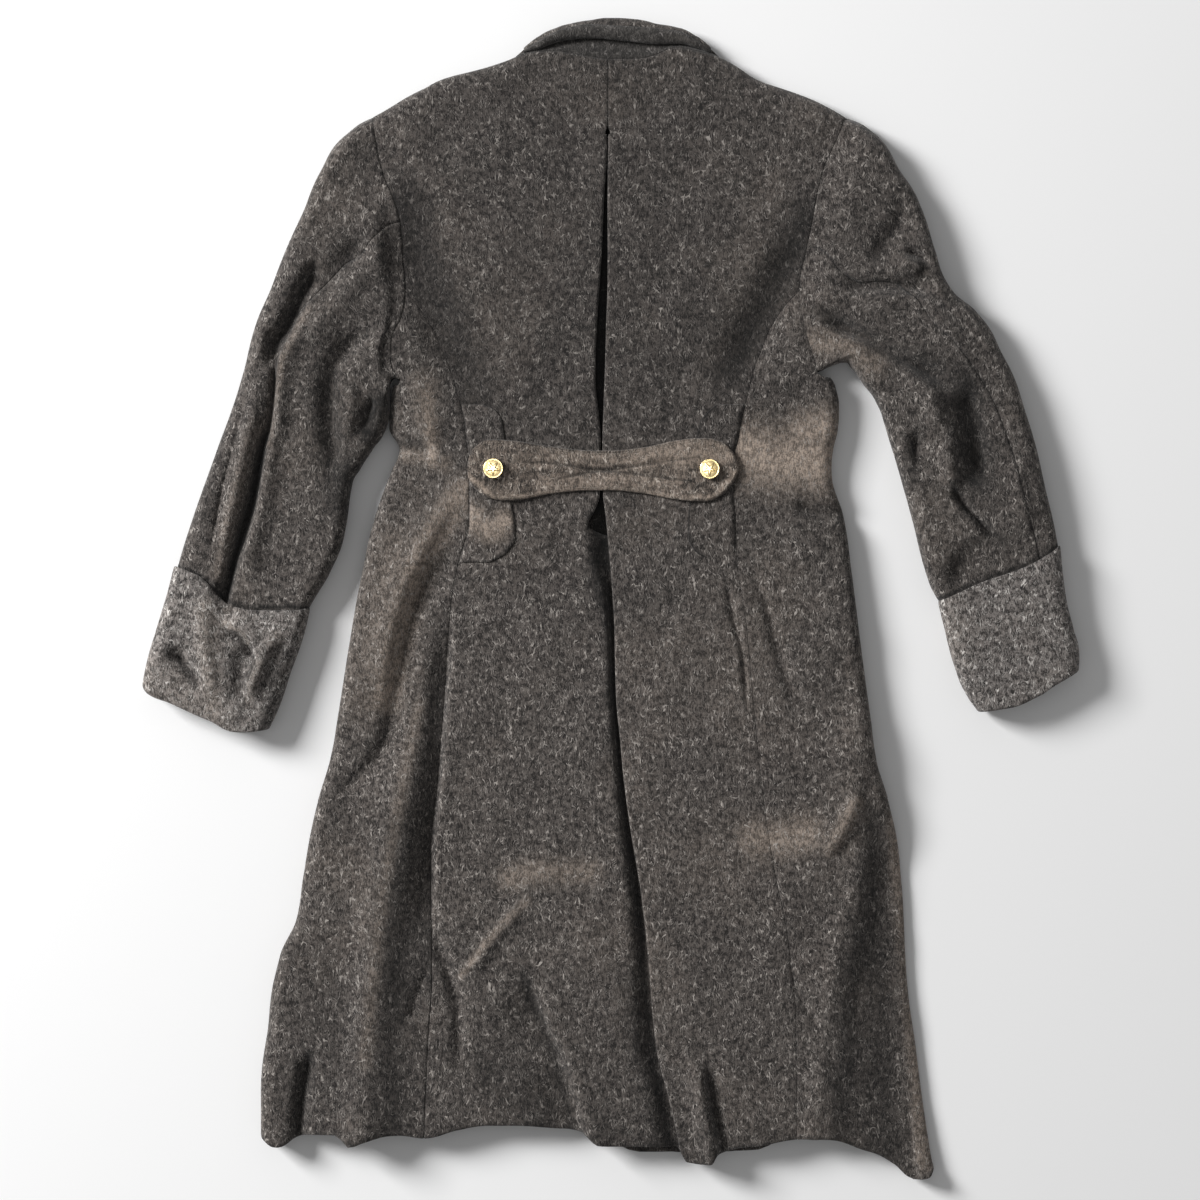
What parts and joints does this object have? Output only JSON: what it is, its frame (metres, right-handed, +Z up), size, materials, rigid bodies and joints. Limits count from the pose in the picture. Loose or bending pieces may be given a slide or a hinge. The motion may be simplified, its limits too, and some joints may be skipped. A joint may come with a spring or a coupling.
{
  "type": "military greatcoat laid face down",
  "caption": "Long wool greatcoat lying face down and laid out flat, its back with an inverted pleat, buttoned half-belt, vent and turn-back cuffs uppermost.",
  "frame": {"origin": "middle of the coat's outline on the surface it lies on", "axes": "+Y along the back from the hem to the collar, +X towards the right of the back as seen from above, +Z up from the surface"},
  "size_m": [1.0292, 1.2766, 0.0433],
  "materials": {
    "wool": "felted melange wool with short light hairs",
    "collar_wool": "felted melange wool, sewn down in rows",
    "belt_wool": "felted melange wool, worn paler",
    "gilt": "polished gilt"
  },
  "bodies": {
    "root": {"back_left": "wool", "back_right": "wool", "front_left": "wool", "front_right": "wool", "sleeve_top_left": "wool", "sleeve_top_right": "wool", "sleeve_under_left": "wool", "sleeve_under_right": "wool", "cuff_left": "wool", "cuff_right": "wool", "belt_flap_left": "wool", "belt_flap_right": "wool", "pleat_underlay": "wool", "collar_front_left": "wool", "collar_front_right": "wool", "collar_stand": "collar_wool", "under_collar": "collar_wool", "top_collar": "wool", "half_belt": "belt_wool", "belt_button_left": "gilt", "belt_button_right": "gilt"}
  },
  "joints": []
}
